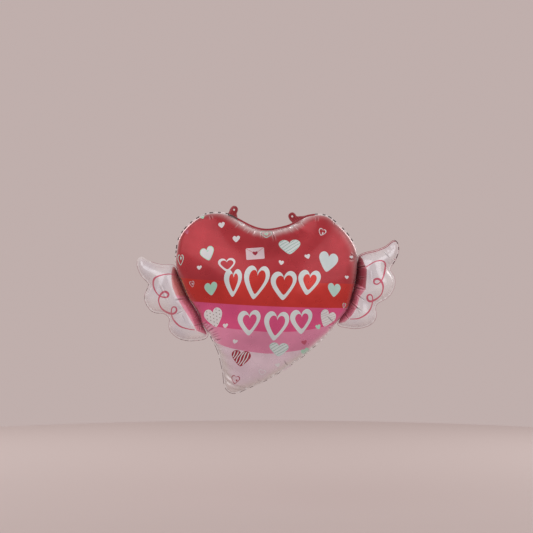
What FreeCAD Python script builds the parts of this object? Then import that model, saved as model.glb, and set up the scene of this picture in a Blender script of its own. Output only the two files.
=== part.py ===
import FreeCAD, Part
import math
import os

os.makedirs("parts", exist_ok=True)

V = FreeCAD.Vector

# Driving dimensions in millimetres. X runs to the right, +Z up and the printed front faces -Y.
# The origin is midway between the two hanging eyelets.
HEART_DEPTH = 120.0          # from the seam plane to the front or back of the heart
WING_DEPTH = 40.0            # from the seam plane to the front or back of a wing
FILM = 0.8                   # wall of the chambers
HEART_INSIDE = 0.995         # inner outline as a share of the outer one
WING_INSIDE = 0.984
SEAM_LAYER = 0.5             # one film layer in the flat seam
SEAM_WIDTH = 5.5             # flat sealed border round each chamber
CREASE_GAP = 0.8             # between the heart's and a wing's border
CREASE_HALF = 3.0            # from the crease line to the edge of either chamber
HEART_CENTRE = (0.0, -250.0)
LEFT_WING_CENTRE = (-264.0, -281.0)
RIGHT_WING_CENTRE = (322.0, -251.0)
CAP = 0.2                    # flat middle of a chamber as a share of its outline
TAB_LENGTH = 29.0
TAB_RADIUS = 12.5
TAB_LAYER = 0.6
LEFT_TAB = (-101, -13, 15.5, -3.0)   # place on the outline, half foot, sideways lean of the head
RIGHT_TAB = (113, -27, 19.0, -8.0)
EYELET_RADIUS = 2.2
EYELET_HEIGHT = 16.0         # from the fold line to the eyelet
FOLD_SPACE = 2.2             # between the heart's border and a fold line
FOLD_START = 0.6             # from a fold line to the piece that folds
NECK_WIDTH = 28.0
NECK_LENGTH = 56.0
NECK_LAYER = 0.65
NECK_PLACE = (76, -497)
NECK_REST = 105.0            # degrees the filler neck is folded back from the seam plane
VALVE_WIDTH = 20.0
VALVE_REACH = 95.0           # how far the valve films reach into the heart
VALVE_LAYER = 0.3

LEFT_CREASE = [(-280, -164), (-273, -200), (-260, -230), (-242, -272), (-208, -327), (-195, -361), (-172, -390)]
RIGHT_CREASE = [(300, -131), (302, -164), (298, -209), (287, -257), (279, -285), (262, -322), (247, -341), (231, -359)]
LEFT_CREASE_ENDS = [(-290, -154), (-177, -401)]      # where the border's edge runs on past the crease
RIGHT_CREASE_ENDS = [(304, -120), (234, -371)]

HEART_TOP = [(288, -98), (278, -82), (256, -55), (232, -33), (209, -15), (184, -8), (159, -9), (134, -15)]
HEART_TOP += [(94, -38), (56, -50), (5, -56), (-47, -41), (-98, -14), (-122, -5), (-151, -2), (-185, -7)]
HEART_TOP += [(-220, -26), (-251, -54), (-270, -86), (-277, -125)]
HEART_TIP = [(-151, -425), (-140, -452), (-133, -482), (-126, -517), (-122, -549), (-112, -570), (-94, -577)]
HEART_TIP += [(-66, -568), (12, -533), (70, -497), (129, -456), (176, -415), (208, -385)]
LEFT_WING = [(-183, -396), (-212, -406), (-251, -406), (-283, -392), (-299, -367), (-298, -341), (-320, -320)]
LEFT_WING += [(-350, -316), (-371, -295), (-378, -271), (-370, -248), (-365, -229), (-383, -207), (-399, -178)]
LEFT_WING += [(-401, -157), (-394, -147), (-379, -153), (-350, -166), (-316, -172), (-288, -173)]
RIGHT_WING = [(309, -143), (324, -134), (351, -127), (382, -118), (406, -104), (424, -93), (431, -106)]
RIGHT_WING += [(426, -141), (413, -164), (404, -183), (414, -200), (420, -222), (411, -253), (391, -274)]
RIGHT_WING += [(364, -290), (357, -307), (360, -328), (351, -349), (327, -363), (292, -368), (262, -364)]
RIGHT_WING += [(244, -357)]


def flat(points):
    return [V(x, 0, z) for x, z in points]


def smooth_loop(points):
    """Closed smooth curve through points of the seam plane."""
    curve = Part.BSplineCurve()
    curve.interpolate(Points=flat(points), PeriodicFlag=True)
    return curve


def shifted(points, dx):
    return [(x + dx, z) for x, z in points]


def plate(curve, y0, y1):
    """Flat plate inside a closed curve, from depth y0 to y1."""
    face = Part.Face(Part.Wire([curve.toShape()]))
    solid = face.extrude(V(0, y1 - y0, 0))
    solid.translate(V(0, y0, 0))
    return solid


def widened(points, width):
    """Closed curve a given width outside the curve through the points."""
    curve = smooth_loop(points)
    moved = []
    for p in flat(points):
        along = curve.tangent(curve.parameter(p))[0]
        out = V(along.z, 0, -along.x) * (1.0 if winding(points) > 0 else -1.0)
        moved.append((p.x + width * out.x, p.z + width * out.z))
    return smooth_loop(moved)


def winding(points):
    """Twice the signed area, positive when the points run anticlockwise seen from the front."""
    return sum(a[0] * b[1] - b[0] * a[1] for a, b in zip(points, points[1:] + points[:1]))


def pillow(curve, centre, depth, shrink):
    """Inflated half chamber: the outline drawn in towards its centre while it rises to depth."""
    middle = V(centre[0], 0, centre[1])
    rise = 0.5523
    steps = [(1.0, 0.0), (1.0, rise * depth), (CAP + (1 - CAP) * (1 - rise), depth), (CAP, depth)]
    rows = []
    for pole in curve.getPoles():
        arm = (pole - middle) * shrink
        rows.append([middle + arm * k + V(0, d, 0) for k, d in steps])
    skin = Part.BSplineSurface()
    skin.buildFromPolesMultsKnots(
        rows, curve.getMultiplicities(), [4, 4], curve.getKnots(), [0.0, 1.0], True, False, 3, 3
    )
    side = skin.toShape()
    loops = [e for e in side.Edges if e.isClosed()]
    lids = [Part.Face(Part.Wire([e])) for e in loops]
    shell = Part.Shell([side] + lids)
    shell.sewShape()
    solid = Part.Solid(shell)
    if solid.Volume < 0:
        solid.reverse()
    return solid


def beside(crease, ends, gap, side):
    """Thick block that covers one side of a crease line and half of the gap."""
    shift = -side * gap / 2
    line = Part.BSplineCurve()
    line.interpolate(Points=flat(shifted(crease, shift)))
    top, bottom = flat(shifted(ends, shift))
    far = V(side * 400.0, 0, 0)
    corners = [line.EndPoint, bottom, bottom + far, top + far, top, line.StartPoint]
    edges = [line.toShape()]
    for p, q in zip(corners, corners[1:]):
        edges.append(Part.makeLine(p, q))
    face = Part.Face(Part.Wire(edges))
    block = face.extrude(V(0, 6, 0))
    block.translate(V(0, -3, 0))
    return block


def film(points, centre, depth, sense, cutters):
    """One film of a chamber, front for sense -1 and back for sense 1, with its part of the seam."""
    curve = smooth_loop(points)
    outer = pillow(curve, centre, depth * sense, 1.0)
    inside = HEART_INSIDE if centre == HEART_CENTRE else WING_INSIDE
    inner = pillow(curve, centre, (depth - FILM) * sense, inside)
    low, high = sorted((0.0, SEAM_LAYER * sense))
    shape = outer.fuse(plate(widened(points, SEAM_WIDTH), low, high)).cut(inner)
    for cutter in cutters:
        shape = shape.cut(cutter)
    return shape


def local_frame(curve, near):
    """Middle of a fold line beside the border nearest to a place, and the outward direction."""
    t = curve.parameter(V(near[0], 0, near[1]))
    edge = curve.value(t)
    along = curve.tangent(t)[0]
    out = V(along.z, 0, -along.x)
    if out.dot(edge - V(HEART_CENTRE[0], 0, HEART_CENTRE[1])) < 0:
        out = out * -1
    return edge + out * (SEAM_WIDTH + FOLD_SPACE), out


def placed(shape, fold, out, angle=0.0):
    """Move a shape drawn with its fold at the origin and its length up to its place on the seam."""
    turned = shape.copy()
    turned.rotate(V(0, 0, 0), V(1, 0, 0), angle)
    turned.rotate(V(0, 0, 0), V(0, 1, 0), math.degrees(math.atan2(out.x, out.z)))
    turned.translate(fold)
    return turned


def tab(foot, lean, sense):
    """One film layer of a hanging tab: flared foot, round head and an eyelet."""
    head = TAB_LENGTH - TAB_RADIUS
    a = V(-foot, 0, FOLD_START)
    b = V(lean - TAB_RADIUS, 0, head)
    c = V(lean + TAB_RADIUS, 0, head)
    d = V(foot, 0, FOLD_START)
    left = Part.Arc(a, (a + b) / 2 + V(1.2, 0, 0), b).toShape()
    top = Part.Arc(b, V(lean, 0, TAB_LENGTH), c).toShape()
    right = Part.Arc(c, (c + d) / 2 - V(1.2, 0, 0), d).toShape()
    face = Part.Face(Part.Wire([left, top, right, Part.makeLine(d, a)]))
    hole = Part.makeCylinder(EYELET_RADIUS, 4, V(lean, -2, EYELET_HEIGHT), V(0, 1, 0))
    return face.extrude(V(0, TAB_LAYER * sense, 0)).cut(hole)


def strip(width, z0, z1, y0, y1):
    low, high = sorted((y0, y1))
    return Part.makeBox(width, high - low, z1 - z0, V(-width / 2, low, z0))


heart_points = HEART_TOP + shifted(LEFT_CREASE, CREASE_HALF) + HEART_TIP
heart_points += shifted(RIGHT_CREASE[::-1], -CREASE_HALF)
left_points = LEFT_WING + shifted(LEFT_CREASE[1:-1], -CREASE_HALF)
right_points = RIGHT_WING + shifted(RIGHT_CREASE[-2:0:-1], CREASE_HALF)
heart = smooth_loop(heart_points)
left_wing = smooth_loop(left_points)
right_wing = smooth_loop(right_points)

left_outside = beside(LEFT_CREASE, LEFT_CREASE_ENDS, CREASE_GAP, -1)
left_inside = beside(LEFT_CREASE, LEFT_CREASE_ENDS, CREASE_GAP, 1)
right_outside = beside(RIGHT_CREASE, RIGHT_CREASE_ENDS, CREASE_GAP, 1)
right_inside = beside(RIGHT_CREASE, RIGHT_CREASE_ENDS, CREASE_GAP, -1)

folds = {
    "left_tab": local_frame(heart, LEFT_TAB),
    "right_tab": local_frame(heart, RIGHT_TAB),
    "neck": local_frame(heart, NECK_PLACE),
}
for name, (fold, out) in folds.items():
    print("fold of", name, fold, "runs along", V(out.z, 0, -out.x), "length along", out)

parts = {}
for name, sense in (("front", -1), ("back", 1)):
    fold, out = folds["neck"]
    channel = strip(VALVE_WIDTH, -VALVE_REACH, -FOLD_SPACE, 0, VALVE_LAYER * sense)
    passage = placed(channel, fold, out)
    cutters = [left_outside, right_outside, passage]
    parts["heart_" + name + "_film"] = film(heart_points, HEART_CENTRE, HEART_DEPTH, sense, cutters)
    parts["valve_" + name + "_film"] = passage
    wing = film(left_points, LEFT_WING_CENTRE, WING_DEPTH, sense, [left_inside])
    parts["left_wing_" + name + "_film"] = wing
    wing = film(right_points, RIGHT_WING_CENTRE, WING_DEPTH, sense, [right_inside])
    parts["right_wing_" + name + "_film"] = wing
    inlet = strip(VALVE_WIDTH, FOLD_START, NECK_LENGTH, 0, VALVE_LAYER * sense)
    sleeve = strip(NECK_WIDTH, FOLD_START, NECK_LENGTH, 0, NECK_LAYER * sense).cut(inlet)
    parts["neck_" + name + "_film"] = placed(sleeve, fold, out, -NECK_REST)
    parts["neck_valve_" + name + "_film"] = placed(inlet, fold, out, -NECK_REST)
    for side, sizes in (("left", LEFT_TAB), ("right", RIGHT_TAB)):
        fold, out = folds[side + "_tab"]
        layer = placed(tab(sizes[2], sizes[3], sense), fold, out)
        parts[side + "_hang_tab_" + name + "_film"] = layer

for name, shape in parts.items():
    box = shape.BoundBox
    print(name, len(shape.Solids), round(shape.Volume / 1000, 2), shape.isValid(), box)
    shape.exportStep("parts/" + name + ".step")
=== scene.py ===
import math
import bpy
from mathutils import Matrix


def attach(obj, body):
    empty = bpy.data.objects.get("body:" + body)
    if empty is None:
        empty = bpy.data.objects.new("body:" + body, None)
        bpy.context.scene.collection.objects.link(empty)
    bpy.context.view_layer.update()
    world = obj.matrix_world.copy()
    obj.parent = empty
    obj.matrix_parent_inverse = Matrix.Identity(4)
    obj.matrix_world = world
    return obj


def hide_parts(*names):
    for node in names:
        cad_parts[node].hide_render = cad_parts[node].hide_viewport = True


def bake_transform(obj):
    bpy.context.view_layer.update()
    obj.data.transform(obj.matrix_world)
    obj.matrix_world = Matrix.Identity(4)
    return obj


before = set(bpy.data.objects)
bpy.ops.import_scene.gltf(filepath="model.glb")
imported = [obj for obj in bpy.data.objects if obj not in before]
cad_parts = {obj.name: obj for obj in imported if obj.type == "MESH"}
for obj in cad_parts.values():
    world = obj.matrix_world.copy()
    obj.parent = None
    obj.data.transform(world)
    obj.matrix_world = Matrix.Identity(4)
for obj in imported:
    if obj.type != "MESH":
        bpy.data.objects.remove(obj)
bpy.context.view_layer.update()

from types import SimpleNamespace

import bpy
import numpy as np
from mathutils import Vector, geometry
from mathutils.bvhtree import BVHTree
from mathutils.kdtree import KDTree

# Lengths in this script are millimetres until a mesh is made, in the frame of the CAD model.
MM = 0.001
EYE = (10.5, 4767.0, -172.6)  # across, in front and up: where the front view is seen from
FINE = 2.9  # triangles beside a rim
COARSE = 6.0  # triangles in the middle of a chamber
FINE_BAND = 46.0  # how far in from the rim the small triangles reach
RIM_STEP = 3.0
WAVE_LENGTH = 22.0
WAVE_HEIGHT = 2.8
SEAM_WIDTH = 5.5
HEART_DEPTH = 117.0
WING_DEPTH = 38.5

# the gas that fills a chamber
BULGE_STEPS = 700
GAS_STEPS = 300
GAS_PUSH = 0.014
MOMENTUM = 0.9
RELAX_TURNS = 2
RELAX = 3.2
SQUEEZE = 0.6  # how much of its length a squeezed edge takes back, as a share of what a stretched one does
UNEVEN = 0.35  # random start, from which the wrinkles grow

# ------------------------------------------------------------------ outlines of the chambers, as (x, z)

LEFT_CREASE = [
    (-280, -164), (-273, -200), (-260, -230), (-242, -272), (-208, -327), (-195, -361), (-172, -390),
]
RIGHT_CREASE = [
    (300, -131), (302, -164), (298, -209), (287, -257), (279, -285), (262, -322), (247, -341), (231, -359),
]
HEART_TOP = [
    (288, -98), (278, -82), (256, -55), (232, -33), (209, -15), (184, -8), (159, -9), (134, -15),
    (94, -38), (56, -50), (5, -56), (-47, -41), (-98, -14), (-122, -5), (-151, -2), (-185, -7),
    (-220, -26), (-251, -54), (-270, -86), (-277, -125),
]
HEART_TIP = [
    (-151, -425), (-140, -452), (-133, -482), (-126, -517), (-122, -549), (-112, -570), (-94, -577),
    (-66, -568), (12, -533), (70, -497), (129, -456), (176, -415), (208, -385),
]
LEFT_WING = [
    (-183, -396), (-212, -406), (-251, -406), (-283, -392), (-299, -367), (-298, -341), (-320, -320),
    (-350, -316), (-371, -295), (-378, -271), (-370, -248), (-365, -229), (-383, -207), (-399, -178),
    (-401, -157), (-394, -147), (-379, -153), (-350, -166), (-316, -172), (-288, -173),
]
RIGHT_WING = [
    (309, -143), (324, -134), (351, -127), (382, -118), (406, -104), (424, -93), (431, -106), (426, -141),
    (413, -164), (404, -183), (414, -200), (420, -222), (411, -253), (391, -274), (364, -290), (357, -307),
    (360, -328), (351, -349), (327, -363), (292, -368), (262, -364), (244, -357),
]


def shifted(points, dx):
    return [(x + dx, z) for x, z in points]


def closed_spline(points, step):
    """Closed smooth curve through points, resampled to an even step."""
    p = np.array(points, float)
    n = len(p)
    h = np.linalg.norm(np.roll(p, -1, 0) - p, axis=1)
    a = np.zeros((n, n))
    r = np.zeros((n, 2))
    for i in range(n):
        k, m = (i - 1) % n, (i + 1) % n
        a[i, k] += 1 / h[k]
        a[i, m] += 1 / h[i]
        a[i, i] += 2 / h[k] + 2 / h[i]
        r[i] = 3 * ((p[i] - p[k]) / h[k] ** 2 + (p[m] - p[i]) / h[i] ** 2)
    t = np.linalg.solve(a, r)
    s = np.linspace(0, 1, 40, endpoint=False)[:, None]
    rows = []
    for i in range(n):
        m = (i + 1) % n
        rows.append(
            (2 * s**3 - 3 * s**2 + 1) * p[i] + (s**3 - 2 * s**2 + s) * h[i] * t[i]
            + (-2 * s**3 + 3 * s**2) * p[m] + (s**3 - s**2) * h[i] * t[m]
        )
    return resample(np.vstack(rows), step)


def resample(loop, step):
    """The closed polyline with points an even step apart."""
    d = np.linalg.norm(np.roll(loop, -1, 0) - loop, axis=1)
    s = np.concatenate([[0], np.cumsum(d)])
    n = max(8, int(round(s[-1] / step)))
    t = np.arange(n) * s[-1] / n
    closed = np.vstack([loop, loop[:1]])
    return np.stack([np.interp(t, s, closed[:, k]) for k in (0, 1)], 1)


def open_spline(points, step):
    """Open smooth curve through points (Catmull-Rom), resampled to about a step."""
    p = np.array(points, float)
    q = np.vstack([2 * p[0] - p[1], p, 2 * p[-1] - p[-2]])
    s = np.linspace(0, 1, 12, endpoint=False)[:, None]
    rows = []
    for i in range(1, len(q) - 2):
        a, b, c, d = q[i - 1], q[i], q[i + 1], q[i + 2]
        square = 2 * a - 5 * b + 4 * c - d
        cube = 3 * b - a - 3 * c + d
        rows.append(0.5 * (2 * b + (c - a) * s + square * s**2 + cube * s**3))
    line = np.vstack(rows + [p[-1:]])
    arc = np.concatenate([[0], np.cumsum(np.linalg.norm(np.diff(line, axis=0), axis=1))])
    t = np.linspace(0, arc[-1], max(3, int(round(arc[-1] / step)) + 1))
    return np.stack([np.interp(t, arc, line[:, k]) for k in (0, 1)], 1)


def rim_place(points, loop):
    """For each point: distance to the closed line, place along it, and whether the point is inside."""
    a, b = loop, np.roll(loop, -1, 0)
    ab = b - a
    length = np.linalg.norm(ab, axis=1)
    start = np.concatenate([[0], np.cumsum(length)[:-1]])
    dist = np.empty(len(points))
    place = np.empty(len(points))
    inside = np.zeros(len(points), bool)
    for k in range(0, len(points), 3000):
        p = points[k:k + 3000, None, :]
        t = np.clip(((p - a) * ab).sum(2) / (length**2), 0, 1)
        d = np.sqrt((((a + t[..., None] * ab) - p) ** 2).sum(2))
        best = d.argmin(1)
        row = np.arange(len(best))
        dist[k:k + 3000] = d[row, best]
        place[k:k + 3000] = start[best] + t[row, best] * length[best]
        inside[k:k + 3000] = in_polygon(points[k:k + 3000], loop)
    return dist, place, inside


def in_polygon(points, loop):
    a, b = loop, np.roll(loop, -1, 0)
    rise = np.where(a[:, 1] == b[:, 1], 1e-9, b[:, 1] - a[:, 1])
    p = points[:, None, :]
    crosses = (a[:, 1] > p[..., 1]) != (b[:, 1] > p[..., 1])
    x = a[:, 0] + (p[..., 1] - a[:, 1]) / rise * (b[:, 0] - a[:, 0])
    return (crosses & (p[..., 0] < x)).sum(1) % 2 == 1


def hex_grid(low, high, h):
    rows = []
    for k, z in enumerate(np.arange(low[1], high[1], h * 0.866)):
        x = np.arange(low[0] + (k % 2) * h / 2, high[0], h)
        rows.append(np.stack([x, np.full_like(x, z)], 1))
    return np.vstack(rows)


def flat_mesh(loop):
    """Triangles inside an outline, small beside it and larger in the middle."""
    low, high = loop.min(0), loop.max(0)
    grids = []
    for size, near, far in ((FINE, 0.75 * FINE, FINE_BAND), (COARSE, FINE_BAND + 0.3 * COARSE, math.inf)):
        grid = hex_grid(low, high, size)
        d, _, inside = rim_place(grid, loop)
        grids.append(grid[inside & (d > near) & (d < far)])
    points = np.vstack([loop] + grids)
    v, _, f, source, _, _ = geometry.delaunay_2d_cdt(
        [Vector(p) for p in points], [], [list(range(len(loop)))], 1, 1e-5
    )
    rim = np.full(len(loop), -1)
    for k, origin in enumerate(source):
        for q in origin:
            if q < len(loop):
                rim[q] = k
    return np.array([tuple(p) for p in v]), np.array(f), rim


def edges_of(f):
    e = np.vstack([f[:, [0, 1]], f[:, [1, 2]], f[:, [2, 0]]])
    e.sort(1)
    return np.unique(e, axis=0)


def gather(index, weight, n):
    return np.stack([np.bincount(index, weight[:, k], n) for k in range(weight.shape[1])], 1)


def circle(x, z, radius, turn):
    return np.stack([x + radius * np.cos(turn), z + radius * np.sin(turn)], 1)


def turned(u, v, x, z, degrees):
    """The place u, v turned anticlockwise about the origin, and then moved by x, z."""
    c, s = math.cos(math.radians(degrees)), math.sin(math.radians(degrees))
    return x + c * u - s * v, z + s * u + c * v


def vertex_normals(p, f):
    a, b, c = p[f[:, 0]], p[f[:, 1]], p[f[:, 2]]
    face = np.cross(b - a, c - a)
    n = len(p)
    total = gather(f[:, 0], face, n) + gather(f[:, 1], face, n) + gather(f[:, 2], face, n)
    return total / (np.linalg.norm(total, axis=1)[:, None] + 1e-12)


def waves(rng, place, length, turns, least):
    """Waves along a closed line, added up, each with a random height and start."""
    total = np.zeros(len(place))
    for k in turns:
        height = rng.uniform(least, 1)
        total += height * np.cos(2 * math.pi * k * place / length + rng.uniform(0, 6.28))
    return total


class Chamber:
    """One inflated chamber: its flat pattern, its rim and its two films."""

    def __init__(self, points, depth, seed, calm, slack, stiff):
        self.loop = closed_spline(points, RIM_STEP)
        self.depth, self.slack = depth, slack
        self.v, self.f, self.rim = flat_mesh(self.loop)
        self.ends = edges_of(self.f).T
        self.count = sum(np.bincount(k, minlength=len(self.v)) for k in self.ends)
        self.stiff = stiff(self.v[:, 0], self.v[:, 1])[:, None]
        self.dist, self.place, _ = rim_place(self.v, self.loop)
        self.length = np.linalg.norm(np.roll(self.loop, -1, 0) - self.loop, axis=1).sum()
        self.along = np.arange(len(self.loop)) * self.length / len(self.loop)
        self.calm = calm(self.loop[:, 0], self.loop[:, 1])
        self.on_crease = crease_distance(self.loop, LINES) < 2.0
        self.wave = self.rim_wave(seed)
        self.bulge = self.start()
        self.front = self.inflate(seed + 1, self.wave)
        back = self.inflate(seed + 2, -self.wave)
        self.back = back * np.array([1.0, -1.0, 1.0])

    def rim_wave(self, seed):
        """How far the seam waves forwards and backwards along the rim."""
        middle = self.length / WAVE_LENGTH
        turns = [round(middle * (1 + q * 0.06)) for q in range(-8, 9)]
        wave = waves(np.random.default_rng(seed), self.along, self.length, turns, 0.3)
        wave *= WAVE_HEIGHT / np.abs(wave).max()
        return wave * self.calm

    def start(self):
        """A smooth bulge over the flat pattern, from 0 at the rim to 1."""
        (i, j), n = self.ends, len(self.v)
        area = np.linalg.norm(self.v[i] - self.v[j], axis=1) ** 2
        mean = (np.bincount(i, area, n) + np.bincount(j, area, n)) / self.count
        u = np.zeros(n)
        before = u.copy()
        for k in range(BULGE_STEPS):
            m = (np.bincount(i, u[j], n) + np.bincount(j, u[i], n)) / self.count + mean / 4
            after = m + 0.97 * (u - before) * (k > 0)
            after[self.rim] = 0
            before, u = u, after
        return np.sqrt(np.clip(u, 0, None) / u.max())

    def inflate(self, seed, wave):
        """The front film, pushed out by the gas until its length along the surface is used up."""
        v, f, rim = self.v, self.f, self.rim
        p = np.stack([v[:, 0], -self.depth * self.bulge, v[:, 1]], 1)
        target = p[rim].copy()
        target[:, 1] = wave
        p[rim] = target
        (i, j), n, count = self.ends, len(v), self.count[:, None]
        rest = np.linalg.norm(v[i] - v[j], axis=1) * self.slack
        free = np.ones(n, bool)
        free[rim] = False
        p[free] += np.random.default_rng(seed).normal(0, UNEVEN, (free.sum(), 3))
        before = p.copy()
        sense = -np.sign(vertex_normals(p, f)[:, 1].sum())

        def mean_of_neighbours(x):
            return (gather(i, x[j], n) + gather(j, x[i], n)) / count

        for _ in range(GAS_STEPS):
            q = p + (p - before) * MOMENTUM + sense * GAS_PUSH * vertex_normals(p, f)
            before = p
            for _ in range(RELAX_TURNS):
                d = q[j] - q[i]
                length = np.sqrt((d**2).sum(1)) + 1e-9
                strain = (length - rest) / length
                strain = np.where(strain < 0, strain * SQUEEZE, strain)
                move = d * (0.5 * strain)[:, None]
                q = q + (gather(i, move, n) - gather(j, move, n)) * (RELAX / count)
                q[rim] = target
            bend = q
            for _ in range(2):
                bend = mean_of_neighbours(bend) - bend
                bend[rim] = 0
            p = q - self.stiff * bend
        p[:, 1] *= self.depth / -p[:, 1].min()
        p[rim] = target
        self.keep_inside(p)
        return p

    def reach_inward(self, place):
        """How far the pattern reaches in from the rim at each place along it."""
        bins = int(self.length / 6)
        widest = np.zeros(bins)
        np.maximum.at(widest, (self.place / self.length * bins).astype(int) % bins, self.dist)
        low = np.min([np.roll(widest, k) for k in (-1, 0, 1)], 0)
        return np.maximum(low[(place / self.length * bins).astype(int) % bins], 4.0)

    def keep_inside(self, p):
        """Draws the bulge in where it would hang out over the seam."""
        xz = p[:, [0, 2]]
        dist, place, inside = rim_place(xz, self.loop)
        signed = np.where(inside, dist, -dist)
        soft = 2.2
        wanted = soft * np.log1p(np.exp(np.clip(signed / soft, -30, 30)))
        n = len(self.loop)
        index = np.round(place / self.length * n).astype(int) % n
        move = -self.outward()[index] * (wanted - signed)[:, None]
        move[signed > 4 * soft] = 0
        move[self.rim] = 0
        p[:, 0] += move[:, 0]
        p[:, 2] += move[:, 1]

    def outward(self):
        """Unit normals of the rim, pointing away from the chamber."""
        loop = self.loop
        area = sum(a[0] * b[1] - b[0] * a[1] for a, b in zip(loop, np.roll(loop, -1, 0)))
        along = np.roll(loop, -1, 0) - np.roll(loop, 1, 0)
        out = np.stack([along[:, 1], -along[:, 0]], 1) * math.copysign(1, area)
        return out / np.linalg.norm(out, axis=1)[:, None]


def crease_distance(points, lines):
    best = np.full(len(points), 1e9)
    for line in lines:
        a, b = line[:-1], line[1:]
        ab = b - a
        t = np.clip(((points[:, None] - a) * ab).sum(2) / (ab**2).sum(1), 0, 1)
        away = (a + t[..., None] * ab) - points[:, None]
        best = np.minimum(best, np.sqrt((away**2).sum(2)).min(1))
    return best


def smooth(x, low, high):
    t = np.clip((x - low) / (high - low), 0, 1)
    return t * t * (3 - 2 * t)


# ------------------------------------------------------------------ materials


def film_material(
    name, colour, metal=0.55, rough=0.3, painted_sheen_share=0.5, crinkle=1.0, coat=0.5, painted_sheen=(0.93, 0.84, 0.85)
):
    """Printed foil: cloudy ink, a painted pale sheen beside the rim, painted shade in the creases, fine
    pleats across the rim and small dents.
    """
    mat = bpy.data.materials.new(name)
    mat.use_nodes = True
    tree = mat.node_tree
    shader = tree.nodes["Principled BSDF"]
    shader.inputs["Metallic"].default_value = metal
    shader.inputs["Coat Weight"].default_value = coat
    shader.inputs["Coat Roughness"].default_value = 0.12
    shader.inputs["IOR"].default_value = 1.5

    def feed(socket, value):
        if isinstance(value, bpy.types.NodeSocket):
            tree.links.new(value, socket)
        else:
            socket.default_value = value

    def node(kind, output, **values):
        """An output of a new node, whose settings and inputs are given by name."""
        n = tree.nodes.new("ShaderNode" + kind)
        for key, value in values.items():
            if hasattr(n, key):
                setattr(n, key, value)
            else:
                feed(n.inputs[key.replace("_", " ")], value)
        return n.outputs[output]

    def times(a, b):
        n = tree.nodes.new("ShaderNodeMath")
        n.operation = "MULTIPLY"
        feed(n.inputs[0], a)
        feed(n.inputs[1], b)
        return n.outputs[0]

    def mix(factor, a, b):
        """Colour a, or b where the factor is 1. Inputs 0, 6 and 7 are the factor and the two colours."""
        n = tree.nodes.new("ShaderNodeMix")
        n.data_type = "RGBA"
        feed(n.inputs[0], factor)
        feed(n.inputs[6], a)
        feed(n.inputs[7], b)
        return n.outputs[2]

    place = node("TexCoord", "Object")
    clouds = node("TexNoise", "Fac", Vector=place, Scale=9.0, Detail=3.0, Roughness=0.55)
    spread = node("MapRange", "Result", Value=clouds, From_Min=0.3, From_Max=0.7)
    dark = [c * 0.84 for c in colour]
    light = [min(1.0, c * 1.1 + 0.015) for c in colour]
    # Painted shade: the colour that sunk creases, and the film beside the chamber creases, darken towards.
    crease = [c * 0.3 + 0.01 for c in colour]
    ink = mix(spread, (*dark, 1), (*light, 1))
    # Painted sheen: a pale colour mixed in near the rim, standing in for the foil's pale reflection.
    sheen_mixed = mix(times(node("Attribute", "Fac", attribute_name="painted_sheen_share"), painted_sheen_share), ink, (*painted_sheen, 1))
    # Painted shade: the fold attribute darkens the colour in the creases.
    crease_shaded = mix(times(node("Attribute", "Fac", attribute_name="fold"), 0.62), sheen_mixed, (*crease, 1))
    tree.links.new(crease_shaded, shader.inputs["Base Color"])
    smudge = node("TexNoise", "Fac", Vector=place, Scale=34.0, Detail=2.0)
    gloss = {"From_Min": 0.3, "From_Max": 0.7, "To_Min": rough - 0.06, "To_Max": rough + 0.08}
    tree.links.new(node("MapRange", "Result", Value=smudge, **gloss), shader.inputs["Roughness"])
    rim = node("Attribute", "Vector", attribute_name="rim_place")
    pleats = node("TexNoise", "Fac", Vector=rim, Scale=1.0, Detail=2.0, Roughness=0.5)
    drawn = times(pleats, node("Attribute", "Fac", attribute_name="pleat"))
    dents = node("TexNoise", "Fac", Vector=place, Scale=70.0, Detail=2.0)
    bump = node("Bump", "Normal", Height=drawn, Strength=0.55 * crinkle, Distance=0.003)
    bump = node("Bump", "Normal", Height=dents, Strength=0.035 * crinkle, Distance=0.002, Normal=bump)
    tree.links.new(bump, shader.inputs["Normal"])
    return mat


def srgb(r, g, b):
    """The linear colour of 0-255 display values."""
    values = [c / 255 for c in (r, g, b)]
    return tuple(c / 12.92 if c <= 0.04045 else ((c + 0.055) / 1.055) ** 2.4 for c in values)
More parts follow.
